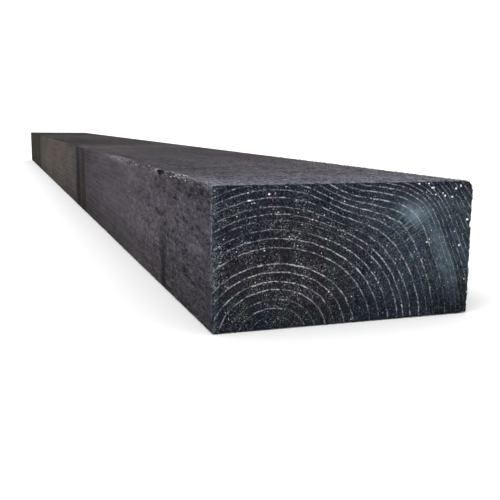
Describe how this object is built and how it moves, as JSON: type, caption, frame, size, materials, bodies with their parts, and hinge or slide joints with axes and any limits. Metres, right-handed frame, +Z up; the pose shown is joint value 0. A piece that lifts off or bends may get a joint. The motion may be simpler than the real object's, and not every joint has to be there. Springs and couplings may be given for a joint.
{
  "type": "railway sleeper",
  "caption": "Rectangular baulk of black-stained softwood, sawn on four sides with square cross-cut ends and one worn top arris, for track, edging or raised beds.",
  "frame": {"origin": "middle of the bottom face, which lies on the ground", "axes": "+X along the grain, +Y across the wide face, +Z up; the front side faces -Y, and the worn arris joins the top face to the back side"},
  "size_m": [2.4, 0.2, 0.1],
  "materials": {
    "stained_timber": "rough-sawn softwood with a matt black stain; blue-black end grain with thin pale growth rings"
  },
  "bodies": {
    "root": {"sleeper": "stained_timber"}
  },
  "joints": []
}
